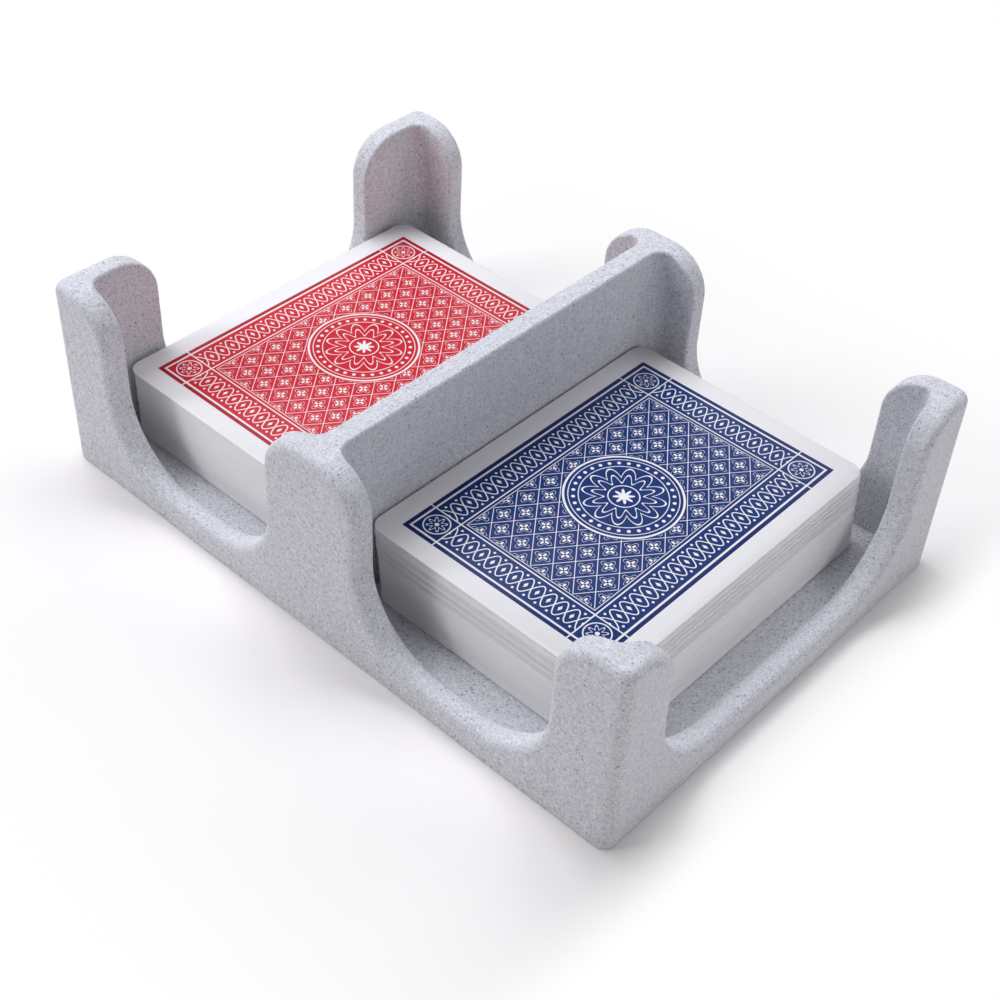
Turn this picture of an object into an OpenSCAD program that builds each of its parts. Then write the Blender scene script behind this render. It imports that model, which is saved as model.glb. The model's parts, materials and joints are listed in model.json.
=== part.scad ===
// Two-deck playing card tray: a one-piece printed tray with finger scoops, and the two decks it holds.
// X runs across the two wells, Y along the cards, Z up. The origin is the centre of the tray's base.

/* [Cards] */
// Width of a card
card_w = 63.5; // [50:0.5:80]
// Length of a card
card_l = 88.9; // [70:0.1:120]
// Thickness of a card
card_t = 0.33; // [0.28:0.01:0.4]
// Radius of a card's corners
card_corner_r = 3.5; // [2:0.1:6]
// Air between one card and the next
card_air = 0.025; // [0.02:0.005:0.05]

/* [Decks] */
// Cards in the red deck
red_cards = 52; // [40:1:60]
// Cards in the blue deck
blue_cards = 56; // [40:1:60]
// Gap between the red deck and the left wall
red_side_gap = 1.6; // [0.8:0.1:4]
// Gap between the blue deck and the divider
blue_side_gap = 0.8; // [0.8:0.1:4]
// How far the red deck lies behind the middle of its well
red_back = 0; // [-3:0.1:3]
// How far the blue deck lies behind the middle of its well
blue_back = 1.6; // [-3:0.1:3]
// How far the blue deck leans: its lowest card lies this much further from the divider than its top card
blue_lean = 1.8; // [0:0.1:3]
// How far a card may lie off its deck's middle
card_stray = 0.1; // [0:0.05:0.3]
// How far a card may be turned in its deck, in degrees
card_turn = 0.05; // [0:0.05:0.3]

/* [Wells] */
// Room for a card to move sideways in its well
side_play = 9.4; // [8:0.1:14]
// Room for a card to move lengthways in its well
end_play = 12.4; // [8:0.1:16]
// Radius of the upright inner corners
well_corner_r = 3.5; // [2:0.1:5]

/* [Tray] */
// Height of the tray
tray_h = 48.6; // [44:0.1:60]
// Thickness of the outer walls
wall_t = 5.8; // [5:0.1:8]
// Thickness of the divider
divider_t = 5.2; // [5:0.1:8]
// Thickness of the floor
floor_t = 4.3; // [3:0.1:6]
// Radius of the soft edges round the outside and along the lips
edge_r = 2.2; // [1.5:0.1:2.4]
// Radius of the crisp edges inside the posts and along the divider
inner_edge_r = 0.8; // [0.4:0.1:1.4]
// Radius of the upright outer corners
outer_corner_r = 3; // [2.4:0.1:4.5]

/* [Scoops] */
// Width of the corner posts in the front and rear walls
corner_post_w = 17.2; // [14:0.1:20]
// Width of the middle posts in the front and rear walls
mid_post_w = 26.8; // [24:0.1:30]
// Length of the posts at both ends of the left wall
left_post_l = 24.2; // [14:0.1:28]
// Length of the posts at both ends of the right wall
right_post_l = 15.3; // [14:0.1:28]
// Upright height of the lip that a scoop leaves above the floor, under its soft edge
lip_h = 0.2; // [0.1:0.1:3]
// Radius of the rounded shoulder at the top of a post
shoulder_r = 10.5; // [6:0.1:11.5]
// Radius of the sweep at the foot of a post
foot_r = 19; // [10:0.1:20]

/* [Hidden] */
// Steps in the quarter arcs of an edge, a shoulder, a foot and an outer corner, and in half an inner corner
edge_steps = 5;
shoulder_steps = 9;
foot_steps = 11;
turn_steps = 5;
corner_steps = 4;
// Grid that meeting points are rounded to, so that they are the same point
grid = 0.00001;

// Packets of lower cards, and single cards on top, in each deck
packets = 3;
top_cards = 4;

well_w = card_w + side_play;
well_l = card_l + end_play;
tray_w = 2 * (well_w + wall_t) + divider_t;
tray_d = well_l + 2 * wall_t;
scoop_z = floor_t + lip_h + edge_r;

// The spine of an edge is the line that its round is drawn about, edge_r inside both faces
spine_top = tray_h - edge_r;
spine_shoulder_r = shoulder_r - edge_r;
spine_corner_r = well_corner_r + edge_r;
up = [0, 0, 1];

// Where the inner corners end, from the outer face and from the divider's middle
wall_corner = wall_t + well_corner_r;
divider_corner = divider_t / 2 + well_corner_r;

// A foot sweep, limited by the width and the height that its scoop leaves
function foot_sweep(scoop_w) = min(foot_r, scoop_w / 2 - edge_r, tray_h - shoulder_r - scoop_z);
front_foot_r = foot_sweep(tray_w / 2 - mid_post_w / 2 - corner_post_w);

// A post is [width, where its rim starts, where its inner corner ends, foot sweep, width of the post it joins]
mid_post = [mid_post_w / 2, 0, divider_corner, front_foot_r, tray_d];

card_pitch = card_t + card_air;
deck_z = floor_t + card_air;
// Each deck: its name, its count, the middle of its top card, its lean and its colour
red_x = -tray_w / 2 + wall_t + red_side_gap + card_w / 2;
blue_x = divider_t / 2 + blue_side_gap + card_w / 2;
decks = [
    ["red", red_cards, [red_x, red_back], 0, [0.78, 0.1, 0.17]],
    ["blue", blue_cards, [blue_x, blue_back], blue_lean, [0.14, 0.22, 0.47]]];

function packet_name(deck, k) = str(deck[0], "_packet_", k);
function top_card_name(deck, k) = str(deck[0], "_top_card_", k);

function snap(p) = [for (v = p) round(v / grid) * grid + 0];
function reversed(list) = [for (i = [len(list) - 1 : -1 : 0]) list[i]];
function last(list) = list[len(list) - 1];
function at_height(p, z) = snap([p[0], p[1], z]);
// A closed outline without the points that repeat
function distinct(list) = [for (i = [0 : len(list) - 1]) if (list[i] != list[(i + 1) % len(list)]) list[i]];
function triangle(a, b, c) = a == b || b == c || c == a ? [] : [[a, b, c]];
function quad(a, b, c, d) = concat(triangle(a, b, c), triangle(a, c, d));
function fan(hub, line) = [for (i = [0 : len(line) - 2]) each triangle(hub, line[i], line[i + 1])];
// Skin between neighbouring rows of points
function skin(rows) = [for (k = [0 : len(rows) - 2], j = [0 : len(rows[0]) - 2])
    each quad(rows[k][j], rows[k][j + 1], rows[k + 1][j + 1], rows[k + 1][j])];

// Quarter round of a radius, from the wall's face to its top, which both lie edge_r from a spine point
function edge_round(spine, face_way, top_way, r = edge_r) = let (
    centre = spine + (edge_r - r) * (face_way + top_way))
    [for (j = [0 : edge_steps]) let (a = 90 * j / edge_steps)
        snap(centre + r * (cos(a) * face_way + sin(a) * top_way))];

// Height and tilt of a post's spine, at a distance from its square end
function post_top(distance, width) = let (
    past = max(0, distance - (width - shoulder_r)),
    tilt = asin(min(1, past / spine_shoulder_r)))
    [spine_top - spine_shoulder_r * (1 - cos(tilt)), tilt];

// Rim from a post's square end to the bottom of the scoop beside it, as [distance, spine height, tilt, share].
// The share runs from 0 to 1 over the inner corner, is 2 down the shoulder and runs on to 3 over the foot.
function post_rim(post) = let (
    flat = post[0] - shoulder_r,
    from = post_top(post[2], post[0])[1],
    foot = post[3],
    spine_foot_r = foot + edge_r)
    concat(
        [for (i = [0 : corner_steps]) let (
            distance = post[1] + (post[2] - post[1]) * i / corner_steps,
            top = post_top(distance, post[0]))
            [distance, top[0], top[1], i / corner_steps]],
        [for (i = [post[2] < flat ? 0 : 1 : shoulder_steps]) let (a = from + (90 - from) * i / shoulder_steps)
            [flat + spine_shoulder_r * sin(a), spine_top - spine_shoulder_r * (1 - cos(a)), a, 2]],
        [for (i = [0 : foot_steps]) let (share = i / foot_steps, a = 90 * (1 - share))
            [post[0] + foot - spine_foot_r * sin(a), scoop_z + foot - spine_foot_r * cos(a), a, 2 + share]]);

// One place on a wall's rim, as [outer round, inner round, share]. The wall starts at a base point, runs
// along one way and is thick along the other. Ahead is 1 for the post at its start, -1 for the one at its end.
// The inner edge is crisp on the post and grows as soft as the outer one down the foot.
function rim_place(wall_start, along, inward, post, ahead, rim) = let (
    share = min(1, rim[3]),
    bend = 45 * (1 - share),
    inner_distance = rim[3] > 1 ? rim[0] : post[2] - spine_corner_r * sin(bend),
    inner_depth = wall_corner - spine_corner_r * cos(bend),
    own_top = rim[3] > 1 ? [rim[1], rim[2]] : post_top(inner_distance, post[0]),
    inner_z = rim[3] > 0 ? own_top[0] : min(own_top[0], post_top(inner_distance, post[4])[0]),
    inner_tilt = rim[3] > 0 ? own_top[1] : 0,
    inner_r = inner_edge_r + (edge_r - inner_edge_r) * max(0, rim[3] - 2),
    way = ahead * along)
    [edge_round(wall_start + rim[0] * way + edge_r * inward + rim[1] * up,
        -inward, sin(rim[2]) * way + cos(rim[2]) * up),
     edge_round(wall_start + inner_distance * way + inner_depth * inward + inner_z * up,
        sin(bend) * way + cos(bend) * inward, sin(inner_tilt) * way + cos(inner_tilt) * up, inner_r),
     rim[3]];

// The two halves of the rim of a wall with one scoop, between two posts
function wall_rim(start, along, inward, length, post, far_post) = let (end = start + length * along) [
    [for (rim = post_rim(post)) rim_place(start, along, inward, post, 1, rim)],
    [for (rim = reversed(post_rim(far_post))) rim_place(end, along, inward, far_post, -1, rim)]];

// Rim round an outer corner of the tray about its centre, between two walls, from one facing angle on
function turn_rim(before, centre, from) = [for (i = [1 : turn_steps - 1]) let (
    a = from + 90 * i / turn_steps,
    way = [cos(a), sin(a), 0])
    [edge_round(centre + (outer_corner_r - edge_r) * way, way, up), before[1], 0]];

// Rim along the divider's half of an inner corner. The divider's middle stands in for the outer round.
function divider_rim(end) = [for (i = [1 : corner_steps]) let (
    bend = 45 * (1 + i / corner_steps),
    x = divider_corner - spine_corner_r * sin(bend),
    y = tray_d / 2 - wall_corner + spine_corner_r * cos(bend),
    middle_y = tray_d / 2 - edge_r - (wall_corner - edge_r) * i / corner_steps)
    [[snap([0, end * middle_y, tray_h])],
     edge_round([x, end * y, post_top(x, mid_post[0])[0]], [sin(bend), -end * cos(bend), 0], up, inner_edge_r),
     i / corner_steps]];

// A flat wall side under the two halves of its scooped top line, down to a height
function flat_side(line, far_line, z) = let (
    start = at_height(line[0], z),
    end = at_height(last(far_line), z))
    concat(fan(start, line), quad(start, last(line), far_line[0], end), fan(end, far_line));
function outer_line(rim) = [for (place = rim) place[0][0]];
function inner_line(rim) = [for (place = rim) if (place[2] >= 1) place[1][0]];
function outer_side(wall) = flat_side(outer_line(wall[0]), outer_line(wall[1]), 0);
function inner_side(wall) =
    flat_side(reversed(inner_line(wall[1])), reversed(inner_line(wall[0])), floor_t);
// Upright strip under a bent stretch of rim, on its outer side or its inner side
function outer_strip(rim) = skin([for (place = rim) [at_height(place[0][0], 0), place[0][0]]]);
function inner_strip(rim) = skin([for (place = rim) [place[1][0], at_height(place[1][0], floor_t)]]);

// The faces of half a tray, on the +X side of the divider's middle, as triangles clockwise from outside
function half_faces(side_post_l) = let (
    side_foot_r = foot_sweep(tray_d - 2 * side_post_l),
    front_corner = [corner_post_w, outer_corner_r, wall_corner, front_foot_r, side_post_l],
    side_corner = [side_post_l, outer_corner_r, wall_corner, side_foot_r, corner_post_w],
    x = tray_w / 2,
    y = tray_d / 2,
    front = wall_rim([0, -y, 0], [1, 0, 0], [0, 1, 0], x, mid_post, front_corner),
    side = wall_rim([x, -y, 0], [0, 1, 0], [-1, 0, 0], tray_d, side_corner, side_corner),
    rear = wall_rim([x, y, 0], [-1, 0, 0], [0, -1, 0], x, front_corner, mid_post),
    walls = [front, side, rear],
    front_turn = turn_rim(last(front[1]), [x - outer_corner_r, outer_corner_r - y, spine_top], -90),
    rear_turn = turn_rim(last(side[1]), [x - outer_corner_r, y - outer_corner_r, spine_top], 0),
    front_bend = concat([last(front[1])], front_turn, [side[0][0]]),
    rear_bend = concat([last(side[1])], rear_turn, [rear[0][0]]),
    divider = concat(divider_rim(1), reversed(divider_rim(-1))),
    outside = concat(front[0], front[1], front_turn, side[0], side[1], rear_turn, rear[0], rear[1]),
    loop = concat(outside, divider, [front[0][0]]),
    floor_bends = [for (place = concat(outside, divider)) if (place[2] <= 1) place],
    floor_line = distinct([for (place = floor_bends) at_height(place[1][0], floor_t)]),
    base_bends = concat([front[0][0]], front_bend, rear_bend, [last(rear[1])]),
    base_line = [for (place = base_bends) at_height(place[0][0], 0)])
    concat(
        skin([for (place = outside) place[0]]),
        skin([for (place = loop) [last(place[0]), last(place[1])]]),
        skin([for (place = loop) reversed(place[1])]),
        [for (wall = walls) each concat(outer_side(wall), inner_side(wall))],
        outer_strip(front_bend),
        outer_strip(rear_bend),
        [for (wall = walls) each concat(
            inner_strip([for (place = wall[0]) if (place[2] <= 1) place]),
            inner_strip([for (place = wall[1]) if (place[2] <= 1) place]))],
        inner_strip(concat([last(rear[1])], divider, [front[0][0]])),
        fan(floor_line[0], reversed(floor_line)),
        fan(base_line[0], base_line));

function mirrored(faces) = [for (face = faces) [for (p = reversed(face)) snap([-p[0], p[1], p[2]])]];

// Solid inside a closed set of triangles
module solid(triangles) {
    polyhedron(
        points = [for (corners = triangles) each corners],
        faces = [for (i = [0 : len(triangles) - 1]) [3 * i, 3 * i + 1, 3 * i + 2]]);
}

// The printed tray
module tray() {
    color([0.78, 0.78, 0.81])
        solid(concat(half_faces(right_post_l), mirrored(half_faces(left_post_l))));
}

// Flat outline of a card
module card_outline() {
    square([card_w - 2 * card_corner_r, card_l], center = true);
    square([card_w, card_l - 2 * card_corner_r], center = true);
    for (x = [-1, 1], y = [-1, 1])
        translate([x * (card_w / 2 - card_corner_r), y * (card_l / 2 - card_corner_r)])
            circle(card_corner_r, $fn = 32);
}

// One card of a deck, counted from 0 at the bottom. Each card lies a little off the deck's middle.
module card(deck, i) {
    lean = deck[3] * (1 - i / (deck[1] - 1));
    stray = card_stray * [sin(97 * i), sin(61 * i + 40)];
    translate([deck[2][0] + lean + stray[0], deck[2][1] + stray[1], deck_z + i * card_pitch])
        rotate(card_turn * sin(53 * i))
            linear_extrude(card_t)
                card_outline();
}

// Packet k of a deck, counted from 1 at the bottom
module packet(deck, k) {
    shared = deck[1] - top_cards;
    color(deck[4])
        for (i = [floor((k - 1) * shared / packets) : floor(k * shared / packets) - 1])
            card(deck, i);
}

// Single card k above the packets, counted from 1
module top_card(deck, k) {
    color(deck[4])
        card(deck, deck[1] - top_cards + k - 1);
}

tray();
for (deck = decks, k = [1 : packets]) packet(deck, k);
for (deck = decks, k = [1 : top_cards]) top_card(deck, k);
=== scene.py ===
"""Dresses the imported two-deck card tray: a speckled printed tray, two decks of cards and a white studio."""

import json
import math
from collections import namedtuple

import bmesh
import bpy
from bpy.props import FloatProperty, FloatVectorProperty, IntProperty, PointerProperty
from mathutils import Matrix, Vector


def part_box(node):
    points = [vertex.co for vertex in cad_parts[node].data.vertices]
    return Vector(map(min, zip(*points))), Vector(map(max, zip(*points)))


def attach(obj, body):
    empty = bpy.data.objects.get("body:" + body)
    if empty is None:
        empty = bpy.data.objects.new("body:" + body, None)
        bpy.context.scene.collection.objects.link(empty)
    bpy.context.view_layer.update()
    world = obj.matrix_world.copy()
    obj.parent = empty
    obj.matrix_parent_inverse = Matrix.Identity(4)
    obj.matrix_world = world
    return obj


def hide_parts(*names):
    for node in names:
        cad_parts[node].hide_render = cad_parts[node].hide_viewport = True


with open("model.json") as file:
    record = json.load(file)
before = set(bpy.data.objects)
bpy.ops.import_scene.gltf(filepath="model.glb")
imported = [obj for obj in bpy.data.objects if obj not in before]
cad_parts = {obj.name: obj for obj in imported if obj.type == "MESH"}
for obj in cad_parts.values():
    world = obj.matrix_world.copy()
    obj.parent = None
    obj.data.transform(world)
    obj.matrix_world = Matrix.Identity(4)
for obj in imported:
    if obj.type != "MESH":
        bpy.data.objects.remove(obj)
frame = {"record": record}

bl_info = {
    "name": "Two-Deck Card Tray",
    "version": (1, 0, 0),
    "blender": (4, 5, 0),
    "location": "3D View > Sidebar > Card Tray",
    "description": "Builds the looks of a two-deck playing card tray around its packed frame",
    "category": "Object",
}

MM = 0.001
UP = Vector((0, 0, 1))
TRAY_LOW, TRAY_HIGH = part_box("tray")
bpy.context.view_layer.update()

# Steps in the quarter arcs of an edge, a shoulder, a foot and an outer corner, and in half an inner corner
EDGE_STEPS = 8
SHOULDER_STEPS = 18
FOOT_STEPS = 26
TURN_STEPS = 8
CORNER_STEPS = 6
CARD_CORNER_STEPS = 8
# Two faces that meet at a sharper angle than this keep a crisp edge between them
CRISP_ANGLE = math.radians(32)
# Points closer than this are one point
JOIN_DISTANCE = 1e-6

# A deck's lower cards lie in packets, and its top cards are pieces of their own
PACKETS = 3
TOP_CARDS = 4
# Places of a card's materials in its list
BACK, EDGE, FACE = range(3)

FLOOR_RADIUS = 2.5
FLOOR_SIDES = 96
# The floor lies this far under the tray, so that the two don't share a face
FLOOR_DROP = 0.1 * MM
SENSOR_WIDTH = 36

# The soft lamps, each with its bearing from the front, its height angle, its width and its share of the power
Lamp = namedtuple("Lamp", "name bearing rise width share")
LAMPS = (Lamp("rear_lamp", 180, 62, 0.5, 0.112),
         Lamp("left_rear_lamp", 225, 62, 0.5, 0.134),
         Lamp("left_lamp", 270, 62, 0.5, 0.305),
         Lamp("right_rear_lamp", 135, 40, 0.5, 0.074),
         Lamp("left_front_lamp", 315, 40, 0.5, 0.15),
         Lamp("low_right_lamp", 76, 20, 0.4, 0.125),
         Lamp("low_front_lamp", 325, 18, 0.2, 0.092))


def srgb(red, green, blue):
    """A colour written in the usual 0 to 255 steps, as the linear colour that Blender keeps."""
    shares = [value / 255 for value in (red, green, blue)]
    return tuple(s / 12.92 if s <= 0.04045 else ((s + 0.055) / 1.055) ** 2.4 for s in shares)


def length_property(name, description, millimetres):
    """A size in the sidebar, given here in millimetres."""
    return FloatProperty(name=name, description=description, default=millimetres * MM, min=0, unit="LENGTH",
                         precision=5)


def colour_property(name, description, red, green, blue):
    """A colour in the sidebar."""
    return FloatVectorProperty(name=name, description=description, default=srgb(red, green, blue),
                               min=0, max=1, subtype="COLOR")


class CardTrayTray(bpy.types.PropertyGroup):
    """Sizes and colours of the printed tray. Its outer box comes from the frame."""
    wall: length_property("Wall", "Thickness of the outer walls", 5.8)
    divider: length_property("Divider", "Thickness of the divider", 5.2)
    floor: length_property("Floor", "Thickness of the floor", 4.3)
    edge: length_property("Soft edge", "Radius of the soft edges round the outside and along the lips", 2.2)
    inner_edge: length_property("Inner edge", "Radius of the crisp edges of the posts and the divider", 0.8)
    outer_corner: length_property("Outer corner", "Radius of the upright outer corners", 3)
    well_corner: length_property("Well corner", "Radius of the upright inner corners", 3.5)
    corner_post: length_property("Corner post", "Width of the corner posts in the front and rear walls", 17.2)
    mid_post: length_property("Middle post", "Width of the middle posts in the front and rear walls", 26.8)
    left_post: length_property("Left post", "Length of the posts at both ends of the left wall", 24.2)
    right_post: length_property("Right post", "Length of the posts at both ends of the right wall", 15.3)
    lip: length_property("Lip", "Upright height of a scoop's lip above the floor, under its soft edge", 0.2)
    shoulder: length_property("Shoulder", "Radius of the rounded shoulder at the top of a post", 10.5)
    foot: length_property("Foot", "Radius of the sweep at the foot of a post", 19)
    layer: length_property("Layer", "Height of one printed layer", 0.3)
    plastic: colour_property("Plastic", "Colour of the plain plastic", 215, 215, 219)
    dark_fleck: colour_property("Dark fleck", "Colour of the dark flecks", 92, 92, 108)
    pale_fleck: colour_property("Pale fleck", "Colour of the pale flecks", 236, 236, 244)


class CardTrayCards(bpy.types.PropertyGroup):
    """Sizes, places and colours of the cards."""
    width: length_property("Width", "Width of a card", 63.5)
    length: length_property("Length", "Length of a card", 88.9)
    thickness: length_property("Thickness", "Thickness of a card", 0.33)
    corner: length_property("Corner", "Radius of a card's corners", 3.5)
    air: length_property("Air", "Air between one card and the next", 0.025)
    cut_edge: length_property("Cut edge", "Softness of a card's cut edge", 0.02)
    low_inset: length_property("Low inset", "How far the edge of a deck's lowest card lies in", 0.45)
    stray: length_property("Stray", "How far a loose card may lie off its deck's middle", 0.18)
    squared: FloatProperty(name="Squared", description="Share of the stray left in the squared-up cards",
                           default=0.17, min=0, max=1, subtype="FACTOR")
    turn: FloatProperty(name="Turn", description="How far a card may be turned in its deck",
                        default=math.radians(0.05), subtype="ANGLE")
    red_count: IntProperty(name="Red cards", description="Cards in the red deck", default=52, min=8)
    blue_count: IntProperty(name="Blue cards", description="Cards in the blue deck", default=56, min=8)
    red_loose: IntProperty(name="Loose red", description="Loose cards on the red deck", default=2, min=0)
    blue_loose: IntProperty(name="Loose blue", description="Loose cards on the blue deck", default=22, min=0)
    red_gap: length_property("Red gap", "Gap between the red deck and the left wall", 1.6)
    blue_gap: length_property("Blue gap", "Gap between the blue deck and the divider", 0.8)
    blue_back: length_property("Blue back", "How far the blue deck lies behind its well's middle", 1.6)
    blue_lean: length_property("Blue lean", "How far the blue deck's lowest card lies out from the top", 1.8)
    paper: colour_property("Paper", "Colour of the card stock", 243, 241, 239)
    cut_paper: colour_property("Cut paper", "Colour of the card stock's cut edges", 249, 248, 246)
    red_ink: colour_property("Red ink", "Ink of the red backs", 207, 32, 50)
    red_line: colour_property("Red line", "Ink of the red backs' frame line", 176, 22, 42)
    blue_ink: colour_property("Blue ink", "Ink of the blue backs", 15, 48, 108)
    blue_line: colour_property("Blue line", "Ink of the blue backs' frame line", 24, 38, 100)


class CardTrayStage(bpy.types.PropertyGroup):
    """The white studio and its camera."""
    floor_colour: colour_property("Floor", "Colour of the studio floor", 254, 250, 244)
    fade_aside: length_property("Fade aside", "How far beside the tray the floor's shadow fades to white", 16)
    fade_ahead: length_property("Fade ahead", "How far before and behind it the shadow fades to white", 85)
    lamp_colour: colour_property("Lamp", "Colour of the soft lamps", 244, 246, 255)
    lamp_power: FloatProperty(name="Lamp power", description="Power of all the soft lamps together",
                              default=15.6, unit="POWER")
    lamp_distance: FloatProperty(name="Lamp distance", description="How far the lamps hang from the tray",
                                 default=1.0, unit="LENGTH")
    camera_place: FloatVectorProperty(name="Camera place", description="Where the camera stands",
                                      default=(0.183567, -0.212863, 0.25594),
                                      subtype="TRANSLATION", unit="LENGTH")
    camera_aim: FloatVectorProperty(name="Camera aim", description="The point in the middle of the picture",
                                    default=(0.008601, -0.007659, 0.012),
                                    subtype="TRANSLATION", unit="LENGTH")
    camera_roll: FloatProperty(name="Camera roll", description="How far the camera is tipped to one side",
                               default=math.radians(3.405), subtype="ANGLE")
    camera_lens: FloatProperty(name="Camera lens", description="Focal length in millimetres",
                               default=59.185)


class Wire:
    """A number that changes over a surface. Plain arithmetic on it adds Math nodes to its tree."""
    # How much the number changes over a mask's soft edge
    soft = 0.06

    def __init__(self, tree, socket):
        self.tree = tree
        self.socket = socket

    def math(self, operation, *others, clamp=False):
        node = self.tree.nodes.new("ShaderNodeMath")
        node.operation = operation
        node.use_clamp = clamp
        for socket, value in zip(node.inputs, (self, *others)):
            plug(self.tree, value, socket)
        return Wire(self.tree, node.outputs["Value"])

    def __add__(self, other):
        return self.math("ADD", other)

    def __sub__(self, other):
        return self.math("SUBTRACT", other)

    def __rsub__(self, other):
        return self.math("MULTIPLY_ADD", -1, other)

    def __mul__(self, other):
        return self.math("MULTIPLY", other)

    def __truediv__(self, other):
        return self.math("DIVIDE", other)

    def __abs__(self):
        return self.math("ABSOLUTE")

    def least(self, other):
        return self.math("MINIMUM", other)

    def most(self, other):
        return self.math("MAXIMUM", other)

    def sine(self):
        return self.math("SINE")

    def cosine(self):
        return self.math("COSINE")

    def root(self):
        return self.math("SQRT")

    def repeat(self, period):
        """The same number, starting again from minus half a period after each period."""
        return self.math("WRAP", period / 2, -period / 2)

    def distance(self, other):
        return (self * self + other * other).root()

    def below(self, limit):
        """A mask: 1 where the number is below the limit, with a soft edge."""
        return self.math("MULTIPLY_ADD", -1 / self.soft, limit / self.soft + 0.5, clamp=True)

    def above(self, limit):
        """A mask: 1 where the number is above the limit, with a soft edge."""
        return self.math("MULTIPLY_ADD", 1 / self.soft, 0.5 - limit / self.soft, clamp=True)

    def near(self, value, reach):
        """A mask: 1 where the number lies within reach of a value."""
        return abs(self - value).below(reach)


def plug(tree, value, socket):
    """Joins a wire or a socket to a node's socket, or sets the socket to a plain value."""
    if isinstance(value, Wire):
        tree.links.new(value.socket, socket)
    elif isinstance(value, bpy.types.NodeSocket):
        tree.links.new(value, socket)
    else:
        socket.default_value = value


def add_node(tree, kind, settings=None, **inputs):
    """A node with its settings, and its inputs named with _ for a space."""
    node = tree.nodes.new(kind)
    for name, value in (settings or {}).items():
        setattr(node, name, value)
    for name, value in inputs.items():
        plug(tree, value, node.inputs[name.replace("_", " ")])
    return node


def mix_colours(tree, share, first, second, blend="MIX"):
    """The colour between two colours, by a share that changes over the surface."""
    node = tree.nodes.new("ShaderNodeMix")
    node.data_type = "RGBA"
    node.blend_type = blend
    sockets = [s for s in node.inputs if s.enabled]
    for socket, value in zip(sockets, (share, opaque(first), opaque(second))):
        plug(tree, value, socket)
    return [s for s in node.outputs if s.enabled][0]


def opaque(colour):
    """A colour with its alpha, or a socket as it is."""
    if isinstance(colour, (Wire, bpy.types.NodeSocket)):
        return colour
    return (*colour[:3], 1)


def new_group(name, inputs, outputs):
    """An empty shader node group with named sockets, as (tree, input node, output node)."""
    tree = bpy.data.node_groups.new(name, "ShaderNodeTree")
    for way, sockets in (("INPUT", inputs), ("OUTPUT", outputs)):
        for socket_name, kind in sockets:
            tree.interface.new_socket(name=socket_name, in_out=way, socket_type="NodeSocket" + kind)
    return tree, tree.nodes.new("NodeGroupInput"), tree.nodes.new("NodeGroupOutput")


def use_group(tree, group, **inputs):
    """The group's node in a tree, with its inputs set."""
    return add_node(tree, "ShaderNodeGroup", {"node_tree": group}, **inputs)


def new_material(name):
    """A material with its tree and its Principled shader."""
    material = bpy.data.materials.new(name)
    material.use_nodes = True
    tree = material.node_tree
    shader = [node for node in tree.nodes if node.type == "BSDF_PRINCIPLED"][0]
    return material, tree, shader


def add_bump(tree, shader, height, strength, distance):
    """Feeds a height to the shader's normal."""
    bump = add_node(tree, "ShaderNodeBump", Strength=strength, Distance=distance, Height=height)
    tree.links.new(bump.outputs["Normal"], shader.inputs["Normal"])


def millimetre_place(tree):
    """Places on a piece, in millimetres, that move with it."""
    place = add_node(tree, "ShaderNodeTexCoord")
    scaled = add_node(tree, "ShaderNodeVectorMath", {"operation": "SCALE"}, Vector=place.outputs["Object"],
                      Scale=1 / MM)
    return scaled.outputs["Vector"]


def fleck_group():
    """Node group: scattered flecks of one size, as a mask."""
    tree, given, result = new_group(
        "Flecks",
        [("Place", "Vector"), ("Spacing", "Float"), ("Share", "Float"), ("Radius", "Float")],
        [("Mask", "Float")])
    ragged = add_node(tree, "ShaderNodeTexNoise", Vector=given.outputs["Place"], Scale=2.2, Detail=2.0)
    shift = add_node(tree, "ShaderNodeVectorMath", {"operation": "MULTIPLY_ADD"})
    raggedness = 0.35
    least_size = 0.4
    least_strength = 0.25
    plug(tree, ragged.outputs["Color"], shift.inputs[0])
    plug(tree, (raggedness, raggedness, raggedness), shift.inputs[1])
    plug(tree, given.outputs["Place"], shift.inputs[2])
    per_cell = Wire(tree, given.outputs["Spacing"]).math("POWER", -1)
    cells = add_node(tree, "ShaderNodeTexVoronoi", Vector=shift.outputs["Vector"], Scale=per_cell)
    lot = add_node(tree, "ShaderNodeSeparateColor", Color=cells.outputs["Color"])
    here = Wire(tree, lot.outputs["Red"]).math("LESS_THAN", given.outputs["Share"])
    size = Wire(tree, lot.outputs["Green"]) * (1 - least_size) + least_size
    reach = size * Wire(tree, given.outputs["Radius"])
    away = Wire(tree, cells.outputs["Distance"]) * Wire(tree, given.outputs["Spacing"])
    strength = Wire(tree, lot.outputs["Blue"]) * (1 - least_strength) + least_strength
    mask = (reach - away).above(0) * here * strength
    plug(tree, mask, result.inputs["Mask"])
    return tree


# One layer of flecks in the plastic, with its spacing and radius in millimetres
FleckLayer = namedtuple("FleckLayer", "colour spacing share radius strength")


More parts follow.
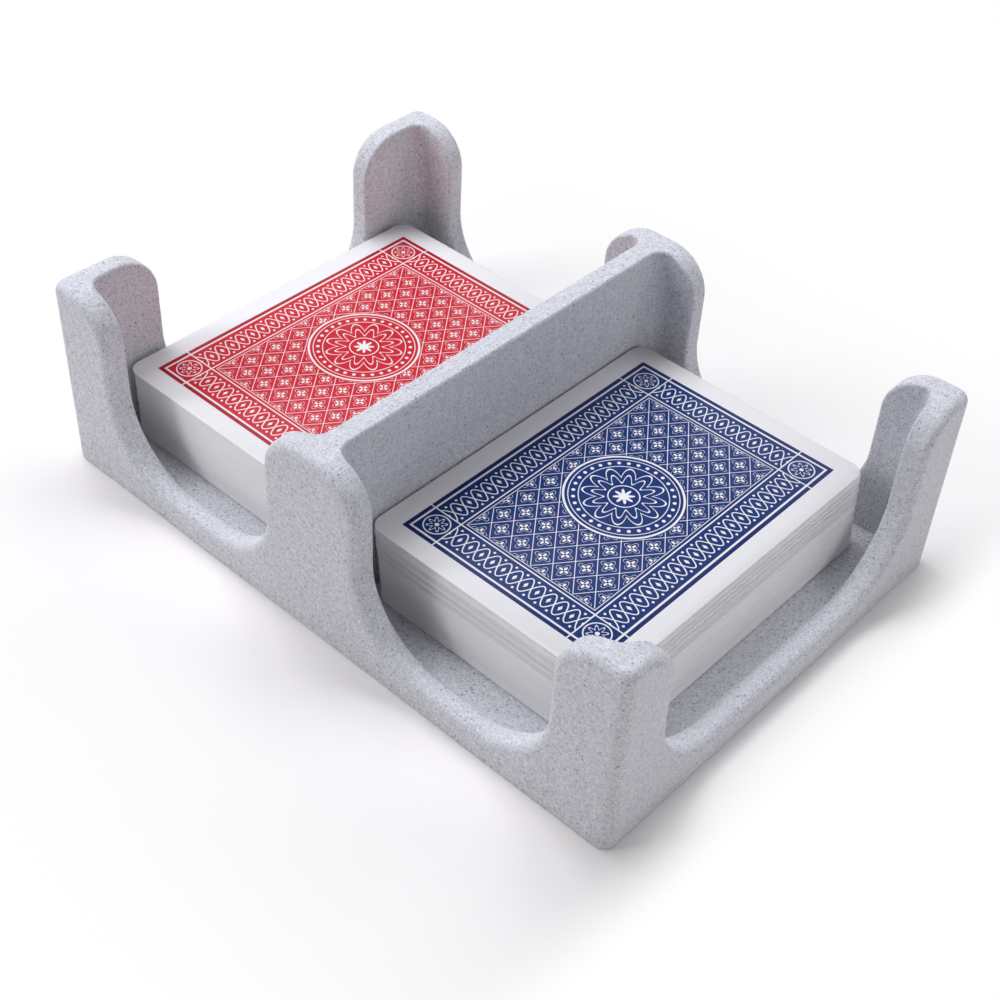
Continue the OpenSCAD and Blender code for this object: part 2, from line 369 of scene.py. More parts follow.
def plastic_material(look):
    """Matt grey plastic with dark and pale flecks and printed layers."""
    cloud_contrast = 0.6
    grain_contrast = 1.15
    bead_height = 0.05
    grain_height = 0.06
    material, tree, shader = new_material("speckled_plastic")
    place = millimetre_place(tree)
    flecks = fleck_group()
    cloud = add_node(tree, "ShaderNodeTexNoise", Vector=place, Scale=0.9, Detail=4.0, Roughness=0.65)
    cloud_wire = Wire(tree, cloud.outputs["Fac"])
    grain = add_node(tree, "ShaderNodeTexNoise", Vector=place, Scale=2.4, Detail=3.0, Roughness=0.6)
    grain_wire = Wire(tree, grain.outputs["Fac"])
    tone = (cloud_wire - 0.5) * cloud_contrast + (grain_wire - 0.5) * grain_contrast + 1
    colour = mix_colours(tree, 1.0, look.plastic, tone, "MULTIPLY")
    layers = (FleckLayer(look.pale_fleck, spacing=1.1, share=0.55, radius=0.36, strength=0.6),
              FleckLayer(look.dark_fleck, spacing=0.75, share=0.55, radius=0.27, strength=0.5),
              FleckLayer(look.dark_fleck, spacing=1.2, share=0.6, radius=0.32, strength=0.56))
    for layer in layers:
        spots = use_group(tree, flecks, Place=place, Spacing=layer.spacing, Share=layer.share,
                          Radius=layer.radius)
        mask = Wire(tree, spots.outputs["Mask"]) * layer.strength
        colour = mix_colours(tree, mask, colour, layer.colour)
    plug(tree, colour, shader.inputs["Base Color"])
    plug(tree, cloud_wire * 0.2 + 0.5, shader.inputs["Roughness"])
    split = add_node(tree, "ShaderNodeSeparateXYZ", Vector=place)
    bead = abs((Wire(tree, split.outputs["Z"]) * (math.pi * MM / look.layer)).sine())
    height = bead * bead_height + grain_wire * grain_height
    plug(tree, 0.25, shader.inputs["Specular IOR Level"])
    add_bump(tree, shader, height, 1.0, MM)
    return material


def fibre_group():
    """Node group: the fine fibres and the dimpled finish of card stock."""
    fibre_contrast = 0.1
    dimple_height = 0.01
    fibre_height = 0.006
    tree, given, result = new_group(
        "Card Stock",
        [("Place", "Vector")],
        [("Tone", "Float"), ("Height", "Float")])
    fibres = add_node(tree, "ShaderNodeTexNoise", Vector=given.outputs["Place"], Scale=3.0, Detail=5.0,
                      Roughness=0.7)
    dimples = add_node(tree, "ShaderNodeTexVoronoi", Vector=given.outputs["Place"], Scale=2.4)
    fibre = Wire(tree, fibres.outputs["Fac"])
    tone = fibre * fibre_contrast + (1 - fibre_contrast / 2)
    height = Wire(tree, dimples.outputs["Distance"]) * dimple_height + fibre * fibre_height
    plug(tree, tone, result.inputs["Tone"])
    plug(tree, height, result.inputs["Height"])
    return tree


def card_back_group(cards):
    """Node group: a card back with a wave border, corner rosettes, a flowered lattice and a medallion."""
    tree, given, result = new_group(
        "Card Back",
        [("Place", "Vector"), ("Paper", "Color"), ("Ink", "Color"), ("Line Ink", "Color")],
        [("Color", "Color"), ("Ink", "Float")])
    split = add_node(tree, "ShaderNodeSeparateXYZ", Vector=given.outputs["Place"])
    width = cards.width / MM
    length = cards.length / MM
    x = (Wire(tree, split.outputs["X"]) - 0.5) * width
    y = (Wire(tree, split.outputs["Y"]) - 0.5) * length

    # The blank margin, the frame line, the gap inside it and the border with both, in millimetres
    margin = 5.0
    line = 1.0
    gap = 0.5
    border = 8.6
    field_gap = 1.2
    from_side = (width / 2 - margin) - abs(x)
    from_end = (length / 2 - margin) - abs(y)
    inset = from_side.least(from_end)
    outset = from_side.most(from_end)

    # Plain rules: the gap inside the frame line, the border's inner rule with its corner squares, a hairline
    rule_half = 0.16
    hairline_half = 0.09
    hairline_gap = 0.85
    rules = inset.near(line + gap / 2, gap / 2)
    rules = rules.most(abs(inset - border).least(abs(outset - border)).below(rule_half))
    rules = rules.most(inset.near(border + hairline_gap, hairline_half))

    # Two crossing waves along the border, with a lozenge in each loop and a dot outside each crossing
    middle = (line + gap + border) / 2
    swing = 2.25
    strand_half = 0.14
    end_turns = 3
    side_turns = 5
    lozenge_w = 0.42
    lozenge_l = 0.85
    dot_out = 2.35
    dot_r = 0.3
    end_run = width / 2 - margin - border
    side_run = length / 2 - margin - border
    on_side = from_side.math("LESS_THAN", from_end)
    end_phase = abs(x) * (2 * math.pi * end_turns / end_run)
    side_phase = abs(y) * (2 * math.pi * side_turns / side_run)
    phase = end_phase + (side_phase - end_phase) * on_side
    per_turn = side_run / (2 * math.pi * side_turns)
    across = abs(inset - middle)
    slope = phase.sine() * (swing / per_turn)
    strand = abs(across - abs(phase.cosine() * swing)) / (slope * slope + 1).root()
    waves = strand.below(strand_half)
    along = abs(phase.repeat(math.pi)) * per_turn
    waves = waves.most((along / lozenge_w + across / lozenge_l).below(1))
    between = abs((phase + math.pi / 2).repeat(math.pi)) * per_turn
    waves = waves.most(between.distance(across - dot_out).below(dot_r))
    in_border = inset.near(middle, (border - line - gap) / 2) * outset.above(border)

    # A rosette in each corner square
    rosette_petals = 8
    rosette_swing = 0.55
    rosette_r = 1.6
    rosette_line = 0.16
    rosette_eye = 0.5
    corner_x = from_side - middle
    corner_y = from_end - middle
    corner_r = corner_x.distance(corner_y)
    corner_turn = corner_y.math("ARCTAN2", corner_x)
    rosette = corner_r.near(2.85, 0.15)
    petals = (corner_turn * rosette_petals).cosine() * rosette_swing + rosette_r
    rosette = rosette.most(abs(corner_r - petals).below(rosette_line)).most(corner_r.below(rosette_eye))
    in_corner = outset.below(border)

    # A lattice of lozenges over the field, with a small flower in each
    columns = 3
    rows = 4
    lattice_half = 0.08
    flower_petals = 4
    flower_swing = 0.5
    flower_reach = 0.7
    flower_eye = 0.26
    halo = 1.4
    halo_half = 0.05
    field_w = end_run - field_gap
    field_l = side_run - field_gap
    across_cells = x * (columns / field_w)
    along_cells = y * (rows / field_l)
    rising = (across_cells + along_cells).repeat(1)
    falling = (across_cells - along_cells).repeat(1)
    slant = 1 / math.hypot(columns / field_w, rows / field_l)
    lattice = (abs(rising).least(abs(falling)) * slant).below(lattice_half)
    flower_up = (across_cells + along_cells + 0.5).repeat(1)
    flower_down = (across_cells - along_cells + 0.5).repeat(1)
    flower_x = (flower_up + flower_down) * (field_w / (2 * columns))
    flower_y = (flower_up - flower_down) * (field_l / (2 * rows))
    flower_r = flower_x.distance(flower_y)
    flower_turn = flower_y.math("ARCTAN2", flower_x)
    bloom = flower_r - (flower_turn * flower_petals).cosine() * flower_swing
    lattice = lattice.most(bloom.below(flower_reach) * flower_r.above(flower_eye))
    lattice = lattice.most(bloom.near(halo, halo_half))

    # A round medallion in the middle: rings, a string of beads, two rings of petals and a star
    reach = 13.4
    beads = 32
    string_r = 10.8
    bead_r = 0.42
    radius = x.distance(y)
    turn = y.math("ARCTAN2", x)
    medallion = radius.near(12.9, 0.25).most(radius.near(11.9, 0.1)).most(radius.near(9.7, 0.1))
    bead_turn = (turn * (beads / (2 * math.pi))).repeat(1) * (2 * math.pi * string_r / beads)
    medallion = medallion.most(bead_turn.distance(radius - string_r).below(bead_r))
    outer_petals = abs((turn * 6).cosine()) * 3.0 + 6.0
    medallion = medallion.most(abs(radius - outer_petals).below(0.2))
    inner_petals = radius - (turn * 12).cosine() * 1.3
    medallion = medallion.most(inner_petals.near(5.6, 0.22))
    star = radius - (turn * 8).cosine() * 0.7
    medallion = medallion.most(radius.near(3.4, 0.13)).most(star.below(1.7))
    in_field = inset.above(border + field_gap)
    in_round = radius.below(reach)
    field = lattice * (1 - in_round)
    field = field.most(medallion * in_round)

    art = rules.most(waves * in_border).most(rosette * in_corner).most(field * in_field)
    printed = inset.above(0)
    ink = printed * (1 - art)
    framed = printed * inset.below(line)
    colour = mix_colours(tree, framed, given.outputs["Ink"], given.outputs["Line Ink"])
    colour = mix_colours(tree, ink, given.outputs["Paper"], colour)
    plug(tree, colour, result.inputs["Color"])
    plug(tree, ink, result.inputs["Ink"])
    return tree


def card_place(tree):
    """Places on a card, as shares of its width and length."""
    return add_node(tree, "ShaderNodeUVMap", {"uv_map": "card"}).outputs["UV"]


# Strength of the mirror-like part of the light on card stock
PAPER_SHEEN = 0.12


def finish_paper(tree, shader, stock, colour, roughness):
    """Feeds a card surface's colour to its shader through the stock's fibres and dimples."""
    surface = use_group(tree, stock, Place=millimetre_place(tree))
    toned = mix_colours(tree, 1.0, colour, surface.outputs["Tone"], "MULTIPLY")
    plug(tree, toned, shader.inputs["Base Color"])
    plug(tree, roughness, shader.inputs["Roughness"])
    plug(tree, PAPER_SHEEN, shader.inputs["Specular IOR Level"])
    add_bump(tree, shader, surface.outputs["Height"], 1.0, MM)


def back_material(name, cards, back, stock, ink, line_ink):
    """The printed back of one deck's cards."""
    material, tree, shader = new_material(name)
    print_node = use_group(tree, back, Place=card_place(tree), Paper=opaque(cards.paper), Ink=opaque(ink),
                           Line_Ink=opaque(line_ink))
    roughness = Wire(tree, print_node.outputs["Ink"]) * -0.06 + 0.44
    finish_paper(tree, shader, stock, print_node.outputs["Color"], roughness)
    return material


def edge_material(name, cards, stock, tone_and_shade):
    """The cut edges of cards: bare paper, darker by a random share from card to card. A small share is the
    stock's own tone; the large share on the loose cards is painted shade for the shadow lines between
    staggered cards.
    """
    material, tree, shader = new_material(name)
    # Painted shade: the grey that a card's edge is mixed towards by its random share, which stands for the
    # shadows between staggered cards on the loose ones
    tone_and_shade_grey = srgb(150, 149, 152)
    lot = Wire(tree, add_node(tree, "ShaderNodeNewGeometry").outputs["Random Per Island"])
    colour = mix_colours(tree, lot * tone_and_shade, cards.cut_paper, tone_and_shade_grey)
    roughness = lot * 0.1 + 0.6
    finish_paper(tree, shader, stock, colour, roughness)
    return material


def face_material(cards, stock):
    """The face of a card: paper with six plain pips."""
    # The pips' columns, the rows' pitch and half a pip's width and length, in millimetres
    column = 14
    row_pitch = 24
    pip_half_w = 5
    pip_half_l = 6.5
    row_reach = 0.4
    material, tree, shader = new_material("pip_face")
    split = add_node(tree, "ShaderNodeSeparateXYZ", Vector=card_place(tree))
    x = abs(Wire(tree, split.outputs["X"]) - 0.5) * (cards.width / MM)
    y = ((Wire(tree, split.outputs["Y"]) - 0.5) * (cards.length / MM)).repeat(row_pitch)
    in_rows = abs(Wire(tree, split.outputs["Y"]) - 0.5).below(row_reach)
    pip = (abs(x - column) / pip_half_w + abs(y) / pip_half_l).below(1) * in_rows
    colour = mix_colours(tree, pip, cards.paper, cards.red_ink)
    roughness = Wire(tree, split.outputs["X"]) * 0.02 + 0.42
    finish_paper(tree, shader, stock, colour, roughness)
    return material


# A post: its width, where its rim starts and its inner corner ends, its foot sweep and the post that it joins
Post = namedtuple("Post", "width rim_start inner_end foot joins")
# A point of the rim's spine: its distance along the wall, its height, its tilt and its share of the way
Rim = namedtuple("Rim", "distance height tilt share")
# A place on the rim: the points of its outer and its inner edge round, and its share of the way
Place = namedtuple("Place", "outer inner share")


class TrayLoft:
    """The tray's skin: the scooped rim of each wall with its rounds, and the faces that hang from it."""

    def __init__(self, sizes):
        self.sizes = sizes
        self.width = TRAY_HIGH.x - TRAY_LOW.x
        self.depth = TRAY_HIGH.y - TRAY_LOW.y
        self.height = TRAY_HIGH.z
        self.spine_top = self.height - sizes.edge
        self.spine_shoulder = sizes.shoulder - sizes.edge
        self.spine_corner = sizes.well_corner + sizes.edge
        self.scoop = sizes.floor + sizes.lip + sizes.edge
        self.wall_corner = sizes.wall + sizes.well_corner
        self.divider_corner = sizes.divider / 2 + sizes.well_corner
        self.front_foot = self.foot_sweep(self.width / 2 - sizes.mid_post / 2 - sizes.corner_post)
        self.mid_post = Post(sizes.mid_post / 2, 0, self.divider_corner, self.front_foot, self.depth)

    def foot_sweep(self, scoop_width):
        """A foot sweep, limited by the width and the height that its scoop leaves."""
        sizes = self.sizes
        return min(sizes.foot, scoop_width / 2 - sizes.edge, self.height - sizes.shoulder - self.scoop)

    def edge_round(self, spine, face_way, top_way, radius):
        """Quarter round from a wall's face to its top, which both lie a soft edge away from a spine point."""
        centre = spine + (self.sizes.edge - radius) * (face_way + top_way)
        turns = [math.pi / 2 * step / EDGE_STEPS for step in range(EDGE_STEPS + 1)]
        return [centre + radius * (math.cos(turn) * face_way + math.sin(turn) * top_way) for turn in turns]

    def post_top(self, distance, width):
        """Height and tilt of a post's spine, at a distance from its square end."""
        past = max(0, distance - (width - self.sizes.shoulder))
        tilt = math.asin(min(1, past / self.spine_shoulder))
        return self.spine_top - self.spine_shoulder * (1 - math.cos(tilt)), tilt

    def post_rim(self, post):
        """Rim from a post's square end to the bottom of the scoop beside it.

        The share runs from 0 to 1 over the inner corner, is 2 down the shoulder and reaches 3 over the foot.
        """
        flat = post.width - self.sizes.shoulder
        first_tilt = self.post_top(post.inner_end, post.width)[1]
        spine_foot = post.foot + self.sizes.edge
        rims = []
        for step in range(CORNER_STEPS + 1):
            share = step / CORNER_STEPS
            distance = post.rim_start + (post.inner_end - post.rim_start) * share
            rims.append(Rim(distance, *self.post_top(distance, post.width), share))
        for step in range(0 if post.inner_end < flat else 1, SHOULDER_STEPS + 1):
            tilt = first_tilt + (math.pi / 2 - first_tilt) * step / SHOULDER_STEPS
            drop = self.spine_shoulder * (1 - math.cos(tilt))
            rims.append(Rim(flat + self.spine_shoulder * math.sin(tilt), self.spine_top - drop, tilt, 2))
        for step in range(FOOT_STEPS + 1):
            share = step / FOOT_STEPS
            tilt = math.pi / 2 * (1 - share)
            distance = post.width + post.foot - spine_foot * math.sin(tilt)
            rims.append(Rim(distance, self.scoop + post.foot - spine_foot * math.cos(tilt), tilt, 2 + share))
        return rims

    def rim_place(self, wall_start, along, inward, post, ahead, rim):
        """One place on a wall's rim. Ahead is 1 for the post at the wall's start and -1 for the other post.

        The inner edge is crisp on the post and grows as soft as the outer one down the foot.
        """
        way = ahead * along
        bend = math.pi / 4 * (1 - min(1, rim.share))
        distance, height, tilt = rim.distance, rim.height, rim.tilt
        if rim.share <= 1:
            distance = post.inner_end - self.spine_corner * math.sin(bend)
            height, tilt = self.post_top(distance, post.width)
        if rim.share == 0:
            height = min(height, self.post_top(distance, post.joins)[0])
            tilt = 0
        depth = self.wall_corner - self.spine_corner * math.cos(bend)
        softness = max(0, rim.share - 2)
        inner_radius = self.sizes.inner_edge + (self.sizes.edge - self.sizes.inner_edge) * softness
        outer = self.edge_round(wall_start + rim.distance * way + self.sizes.edge * inward + rim.height * UP,
                                -inward, math.sin(rim.tilt) * way + math.cos(rim.tilt) * UP, self.sizes.edge)
        inner = self.edge_round(wall_start + distance * way + depth * inward + height * UP,
                                math.sin(bend) * way + math.cos(bend) * inward,
                                math.sin(tilt) * way + math.cos(tilt) * UP, inner_radius)
        return Place(outer, inner, rim.share)

    def wall_rim(self, start, along, inward, length, post, far_post):
        """The two halves of the rim of a wall with one scoop, between two posts."""
        end = start + length * along
        near_half = [self.rim_place(start, along, inward, post, 1, rim) for rim in self.post_rim(post)]
        far_half = [self.rim_place(end, along, inward, far_post, -1, rim) for rim in self.post_rim(far_post)]
        return near_half, far_half[::-1]

    def turn_rim(self, before, centre, first):
        """Rim round an outer corner of the tray about its centre, between two walls."""
        places = []
        for step in range(1, TURN_STEPS):
            turn = first + math.pi / 2 * step / TURN_STEPS
            way = Vector((math.cos(turn), math.sin(turn), 0))
            spine = centre + (self.sizes.outer_corner - self.sizes.edge) * way
            places.append(Place(self.edge_round(spine, way, UP, self.sizes.edge), before.inner, 0))
        return places

    def divider_rim(self, end):
        """Rim along the divider's half of an inner corner, with the divider's middle for an outer round."""
        places = []
        for step in range(1, CORNER_STEPS + 1):
            share = step / CORNER_STEPS
            bend = math.pi / 4 * (1 + share)
            x = self.divider_corner - self.spine_corner * math.sin(bend)
            y = self.depth / 2 - self.wall_corner + self.spine_corner * math.cos(bend)
            middle = self.depth / 2 - self.sizes.edge - (self.wall_corner - self.sizes.edge) * share
            face_way = Vector((math.sin(bend), -end * math.cos(bend), 0))
            spine = Vector((x, end * y, self.post_top(x, self.mid_post.width)[0]))
            inner = self.edge_round(spine, face_way, UP, self.sizes.inner_edge)
            places.append(Place([Vector((0, end * middle, self.height))], inner, share))
        return places

    def half_faces(self, side_post):
        """The faces of half a tray, on the +X side of the divider's middle."""
        sizes = self.sizes
        x = self.width / 2
        y = self.depth / 2
        side_foot = self.foot_sweep(self.depth - 2 * side_post)
        front_corner = Post(sizes.corner_post, sizes.outer_corner, self.wall_corner, self.front_foot,
                            side_post)
        side_corner = Post(side_post, sizes.outer_corner, self.wall_corner, side_foot, sizes.corner_post)
        ahead = Vector((1, 0, 0))
        back = Vector((0, 1, 0))
        front = self.wall_rim(Vector((0, -y, 0)), ahead, back, x, self.mid_post, front_corner)
        side = self.wall_rim(Vector((x, -y, 0)), back, -ahead, self.depth, side_corner, side_corner)
        rear = self.wall_rim(Vector((x, y, 0)), -ahead, -back, x, front_corner, self.mid_post)
        walls = (front, side, rear)
        centre = Vector((x - sizes.outer_corner, y - sizes.outer_corner, self.spine_top))
        front_turn = self.turn_rim(front[1][-1], centre * Vector((1, -1, 1)), -math.pi / 2)
        rear_turn = self.turn_rim(side[1][-1], centre, 0)
        front_bend = [front[1][-1], *front_turn, side[0][0]]
        rear_bend = [side[1][-1], *rear_turn, rear[0][0]]
        divider = self.divider_rim(1) + self.divider_rim(-1)[::-1]
        outside = [*front[0], *front[1], *front_turn, *side[0], *side[1], *rear_turn, *rear[0], *rear[1]]
        loop = [*outside, *divider, front[0][0]]
        by_floor = [place for place in outside + divider if place.share <= 1]
        floor_line = [at_height(place.inner[0], sizes.floor) for place in by_floor]
        base_bends = [front[0][0], *front_bend, *rear_bend, rear[1][-1]]
        faces = skin([place.outer for place in outside])
        faces += skin([[place.outer[-1], place.inner[-1]] for place in loop])
        faces += skin([place.inner[::-1] for place in loop])
        for wall in walls:
            faces += wall_sides(wall, sizes.floor)
            for half in wall:
                faces += hanging_strip([place.inner[0] for place in half if place.share <= 1], sizes.floor)
        for bend in (front_bend, rear_bend):
            faces += hanging_strip([place.outer[0] for place in bend], 0)
        divider_side = [rear[1][-1], *divider, front[0][0]]
        faces += hanging_strip([place.inner[0] for place in divider_side], sizes.floor)
        faces.append(floor_line)
        faces.append([at_height(place.outer[0], 0) for place in base_bends])
        return faces


def at_height(point, height):
    """The point above or below a point, at a height."""
    return Vector((point.x, point.y, height))


def skin(rows):
    """Faces between neighbouring rows of points."""
    faces = []
    for row, after in zip(rows, rows[1:]):
        for step in range(len(row) - 1):
            faces.append([row[step], row[step + 1], after[step + 1], after[step]])
    return faces


def hanging_strip(line, height):
    """Upright faces from a line of points down to a height."""
    return skin([[point, at_height(point, height)] for point in line])


def wall_sides(wall, floor):
    """The flat outer and inner sides of a wall, under the two halves of its scooped rim."""
    faces = []
    for side, height in (("outer", 0), ("inner", floor)):
        places = [place for half in wall for place in half if side == "outer" or place.share >= 1]
        line = [getattr(place, side)[0] for place in places]
        faces.append([at_height(line[0], height), *line, at_height(line[-1], height)])
    return faces


def new_piece(name, mesh, materials):
    """A piece with its materials, in the scene."""
    piece = bpy.data.objects.new(name, mesh)
    bpy.context.scene.collection.objects.link(piece)
    for material in materials:
        mesh.materials.append(material)
    return piece


def crisp_mesh(bm, name):
    """A smooth mesh from a bmesh, with its sharp edges marked, and the bmesh freed."""
    for edge in bm.edges:
        edge.smooth = edge.calc_face_angle(0) < CRISP_ANGLE
    for face in bm.faces:
        face.smooth = True
    mesh = bpy.data.meshes.new(name)
    bm.to_mesh(mesh)
    bm.free()
    return mesh


def even_shading(piece):
    """Shading that large flat faces lead, so that rounds run into them without a dent."""
    modifier = piece.modifiers.new("Even shading", "WEIGHTED_NORMAL")
    modifier.keep_sharp = True


def seat(piece, node):
    """Makes a piece stand for a node of the frame, on the body that carries it."""
    bodies = frame["record"]["behaviour"]["bodies"]
    body = [name for name, nodes in bodies.items() if node in nodes][0]
    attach(piece, body)
    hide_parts(node)


class CARDTRAY_OT_tray(bpy.types.Operator):
    """Builds the printed tray with its scooped walls"""
    bl_idname = "cardtray.tray"
    bl_label = "Printed Tray"

    def execute(self, context):
        look = context.scene.card_tray_tray
        loft = TrayLoft(look)
        faces = loft.half_faces(look.right_post)
        mirror = Vector((-1, 1, 1))
        faces += [[point * mirror for point in face[::-1]] for face in loft.half_faces(look.left_post)]
        bm = bmesh.new()
        for face in faces:
            points = [bm.verts.new(point) for point in face]
            bm.faces.new(points)
        bmesh.ops.remove_doubles(bm, verts=bm.verts, dist=JOIN_DISTANCE)
        bmesh.ops.dissolve_degenerate(bm, edges=bm.edges, dist=JOIN_DISTANCE)
        bmesh.ops.recalc_face_normals(bm, faces=bm.faces)
        open_edges = [edge for edge in bm.edges if not edge.is_manifold]
        if open_edges:
            raise RuntimeError(f"the tray's skin is open at {len(open_edges)} edges")
        piece = new_piece("printed_tray", crisp_mesh(bm, "printed_tray"), [plastic_material(look)])
        even_shading(piece)
        seat(piece, "tray")
        return {"FINISHED"}


# A deck: its cards, the place of its top card's middle, the lean of its lowest card and its loose cards
Deck = namedtuple("Deck", "name count x y lean loose")


def is_loose(deck, number):
    """Whether a card lies among the loose ones at the top of its deck."""
    return number >= deck.count - deck.loose


def card_outline(cards):
    """Outline of a card about its middle, as (point, outward way)."""
    outline = []
    half_w = cards.width / 2 - cards.corner
    half_l = cards.length / 2 - cards.corner
    for quarter, (side, end) in enumerate(((1, 1), (-1, 1), (-1, -1), (1, -1))):
        for step in range(CARD_CORNER_STEPS + 1):
            turn = math.pi / 2 * (quarter + step / CARD_CORNER_STEPS)
            way = Vector((math.cos(turn), math.sin(turn), 0))
            outline.append((Vector((side * half_w, end * half_l, 0)) + cards.corner * way, way))
    return outline


def add_card(bm, cards, deck, number, floor):
    """Adds one card of a deck, counted from 0 at the bottom, where the frame has it."""
    uv = bm.loops.layers.uv.verify()
    lean = deck.lean * (1 - number / (deck.count - 1))
    stray = cards.stray if is_loose(deck, number) else cards.stray * cards.squared
    # Each card strays and turns by an angle's sine, in steps that leave no two neighbours alike
    stray_x = stray * math.sin(math.radians(97 * number))
    stray_y = stray * math.sin(math.radians(61 * number + 40))
    turn = cards.turn * math.sin(math.radians(53 * number))
    low = floor + cards.air + number * (cards.thickness + cards.air)
    middle = (deck.x + lean + stray_x, deck.y + stray_y, low)
    place = Matrix.Translation(middle) @ Matrix.Rotation(turn, 4, "Z")
    soft = cards.cut_edge
    edge = cards.low_inset if number == 0 else 0
    levels = ((0, edge + soft), (soft, edge), (cards.thickness - soft, edge), (cards.thickness, edge + soft))
    flat = card_outline(cards)
    rings = []
    spots = {}
    for height, inset in levels:
        ring = []
        for point, way in flat:
            spot = point - inset * way
            vertex = bm.verts.new(place @ (spot + height * UP))
            spots[vertex] = (spot.x / cards.width + 0.5, spot.y / cards.length + 0.5)
            ring.append(vertex)
        rings.append(ring)
    face = bm.faces.new(rings[0][::-1])
    face.material_index = FACE
    back = bm.faces.new(rings[-1])
    back.material_index = BACK
    faces = [face, back]
    for ring, above in zip(rings, rings[1:]):
        for i in range(len(ring)):
            j = (i + 1) % len(ring)
            side = bm.faces.new((ring[i], ring[j], above[j], above[i]))
            side.material_index = EDGE
            faces.append(side)
    for part in faces:
        for loop in part.loops:
            loop[uv].uv = spots[loop.vert]


def build_deck(context, deck, back, squared_cut, loose_cut, face):
    """Builds the packets and the single top cards of one deck."""
    cards = context.scene.card_tray_cards
    floor = context.scene.card_tray_tray.floor
    shared = deck.count - TOP_CARDS
    runs = {}
    for packet in range(PACKETS):
        first = shared * packet // PACKETS
        runs[f"{deck.name}_packet_{packet + 1}"] = range(first, shared * (packet + 1) // PACKETS)
    for card in range(TOP_CARDS):
        runs[f"{deck.name}_top_card_{card + 1}"] = range(shared + card, shared + card + 1)
    for node, numbers in runs.items():
        bm = bmesh.new()
        for number in numbers:
            add_card(bm, cards, deck, number, floor)
        mesh = crisp_mesh(bm, node + "_stock")
        mesh.uv_layers[0].name = "card"
        cut = loose_cut if is_loose(deck, numbers[0]) else squared_cut
        piece = new_piece(node + "_stock", mesh, [back, cut, face])
        seat(piece, node)


class CARDTRAY_OT_decks(bpy.types.Operator):
    """Builds the red deck and the blue deck, card by card"""
    bl_idname = "cardtray.decks"
    bl_label = "Card Decks"

    def execute(self, context):
        cards = context.scene.card_tray_cards
        tray = context.scene.card_tray_tray
        stock = fibre_group()
        back = card_back_group(cards)
        squared_cut = edge_material("cut_paper", cards, stock, tone_and_shade=0.04)
        # Painted shade: the loose cards' edges darken much further at random, standing for the shadow lines
        # between the staggered cards
        loose_cut = edge_material("loose_cut_paper", cards, stock, tone_and_shade=0.3)
        face = face_material(cards, stock)
        red_back = back_material("red_back", cards, back, stock, cards.red_ink, cards.red_line)
        blue_back = back_material("blue_back", cards, back, stock, cards.blue_ink, cards.blue_line)
        red_x = TRAY_LOW.x + tray.wall + cards.red_gap + cards.width / 2
        blue_x = tray.divider / 2 + cards.blue_gap + cards.width / 2
        red = Deck("red", cards.red_count, red_x, 0, 0, cards.red_loose)
        blue = Deck("blue", cards.blue_count, blue_x, cards.blue_back, cards.blue_lean, cards.blue_loose)
        build_deck(context, red, red_back, squared_cut, loose_cut, face)
        build_deck(context, blue, blue_back, squared_cut, loose_cut, face)
        return {"FINISHED"}


def seen_directly(tree):
    """1 for rays that the viewer sees, straight or in gloss or glass, and 0 for light on the object."""
    path = add_node(tree, "ShaderNodeLightPath")
    seen = Wire(tree, path.outputs["Is Camera Ray"]).most(path.outputs["Is Glossy Ray"])
    return seen.most(path.outputs["Is Transmission Ray"])


def floor_material(stage):
    """Pale studio floor that goes to plain white away from the tray and keeps its shadow near it."""
    material, tree, shader = new_material("studio_floor")
    plug(tree, opaque(stage.floor_colour), shader.inputs["Base Color"])
    plug(tree, 1.0, shader.inputs["Roughness"])
    plug(tree, 0.0, shader.inputs["Specular IOR Level"])
    place = add_node(tree, "ShaderNodeTexCoord")
    split = add_node(tree, "ShaderNodeSeparateXYZ", Vector=place.outputs["Object"])
    aside = (abs(Wire(tree, split.outputs["X"])) - TRAY_HIGH.x).most(0) / stage.fade_aside
    ahead = (abs(Wire(tree, split.outputs["Y"])) - TRAY_HIGH.y).most(0) / stage.fade_ahead
    far = add_node(tree, "ShaderNodeMapRange", {"interpolation_type": "SMOOTHSTEP"},
                   Value=aside.distance(ahead))
    seen = seen_directly(tree)
    white = add_node(tree, "ShaderNodeEmission", Color=(1, 1, 1, 1), Strength=1.0)
    blend = add_node(tree, "ShaderNodeMixShader")
    plug(tree, Wire(tree, far.outputs["Result"]) * seen, blend.inputs[0])
    plug(tree, shader.outputs["BSDF"], blend.inputs[1])
    plug(tree, white.outputs["Emission"], blend.inputs[2])
    output = [node for node in tree.nodes if node.type == "OUTPUT_MATERIAL"][0]
    plug(tree, blend.outputs["Shader"], output.inputs["Surface"])
    return material


def white_world(scene):
    """A white sky behind everything that the viewer sees, which puts no light on the object."""
    world = bpy.data.worlds.new("studio_sky")
    scene.world = world
    world.use_nodes = True
    tree = world.node_tree
    white = [node for node in tree.nodes if node.type == "BACKGROUND"][0]
    plug(tree, (1, 1, 1, 1), white.inputs["Color"])
    plug(tree, seen_directly(tree), white.inputs["Strength"])


def add_lamp(scene, stage, lamp):
    """One soft lamp that hangs round the tray and points at it."""
    data = bpy.data.lights.new(lamp.name, "AREA")
    data.shape = "DISK"
    data.size = lamp.width
    data.energy = stage.lamp_power * lamp.share
    data.color = stage.lamp_colour
    bearing = math.radians(lamp.bearing)
    rise = math.radians(lamp.rise)
    level = math.cos(rise)
    way = Vector((level * math.sin(bearing), -level * math.cos(bearing), math.sin(rise)))
    thing = bpy.data.objects.new(lamp.name, data)
    thing.location = stage.lamp_distance * way
    aim(thing, (0, 0, 0))
    scene.collection.objects.link(thing)


def aim(thing, target, roll=0.0):
    """Turns a lamp or the camera towards a point, and then tips it to one side."""
    way = Vector(target) - thing.location
    thing.rotation_mode = "QUATERNION"
    thing.rotation_quaternion = way.to_track_quat("-Z", "Y") @ Matrix.Rotation(roll, 3, "Z").to_quaternion()


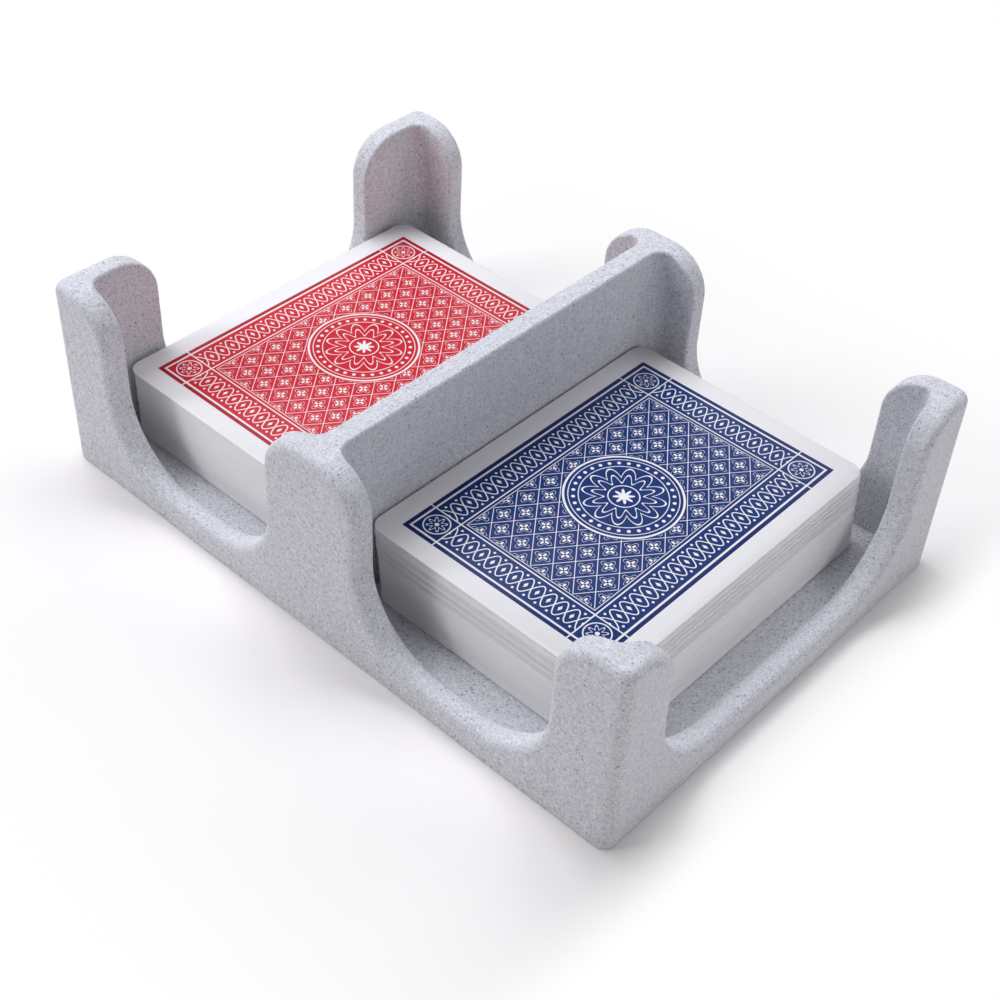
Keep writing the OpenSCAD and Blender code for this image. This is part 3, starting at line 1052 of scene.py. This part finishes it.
class CARDTRAY_OT_stage(bpy.types.Operator):
    """Builds the white floor, the soft light and the camera"""
    bl_idname = "cardtray.stage"
    bl_label = "Studio"

    def execute(self, context):
        scene = context.scene
        stage = scene.card_tray_stage
        bm = bmesh.new()
        bmesh.ops.create_circle(bm, cap_ends=True, segments=FLOOR_SIDES, radius=FLOOR_RADIUS)
        floor = new_piece("studio_floor", crisp_mesh(bm, "studio_floor"), [floor_material(stage)])
        floor.location.z = -FLOOR_DROP
        white_world(scene)
        for lamp in LAMPS:
            add_lamp(scene, stage, lamp)
        camera_data = bpy.data.cameras.new("camera")
        camera_data.sensor_width = SENSOR_WIDTH
        camera_data.lens = stage.camera_lens
        camera_data.clip_start = 0.01
        camera = bpy.data.objects.new("camera", camera_data)
        camera.location = stage.camera_place
        aim(camera, stage.camera_aim, stage.camera_roll)
        scene.collection.objects.link(camera)
        scene.camera = camera
        scene.view_settings.view_transform = "Standard"
        return {"FINISHED"}


class CARDTRAY_PT_panel(bpy.types.Panel):
    """Lists the tray's operators and sizes"""
    bl_label = "Card Tray"
    bl_idname = "CARDTRAY_PT_panel"
    bl_space_type = "VIEW_3D"
    bl_region_type = "UI"
    bl_category = "Card Tray"

    def draw(self, context):
        for operator, settings in PANEL_ROWS:
            box = self.layout.box()
            box.operator(operator)
            group = getattr(context.scene, settings)
            for name in group.bl_rna.properties.keys():
                if name not in ("rna_type", "name"):
                    box.prop(group, name)


PANEL_ROWS = (("cardtray.tray", "card_tray_tray"),
              ("cardtray.decks", "card_tray_cards"),
              ("cardtray.stage", "card_tray_stage"))
SETTINGS = (("card_tray_tray", CardTrayTray),
            ("card_tray_cards", CardTrayCards),
            ("card_tray_stage", CardTrayStage))
CLASSES = (CardTrayTray, CardTrayCards, CardTrayStage, CARDTRAY_OT_tray, CARDTRAY_OT_decks, CARDTRAY_OT_stage,
           CARDTRAY_PT_panel)


def register():
    for kind in CLASSES:
        bpy.utils.register_class(kind)
    for name, kind in SETTINGS:
        setattr(bpy.types.Scene, name, PointerProperty(type=kind))


def unregister():
    for name, kind in SETTINGS:
        delattr(bpy.types.Scene, name)
    for kind in reversed(CLASSES):
        bpy.utils.unregister_class(kind)


def main():
    register()
    bpy.ops.cardtray.stage()
    bpy.ops.cardtray.tray()
    bpy.ops.cardtray.decks()


if __name__ == "__main__":
    main()
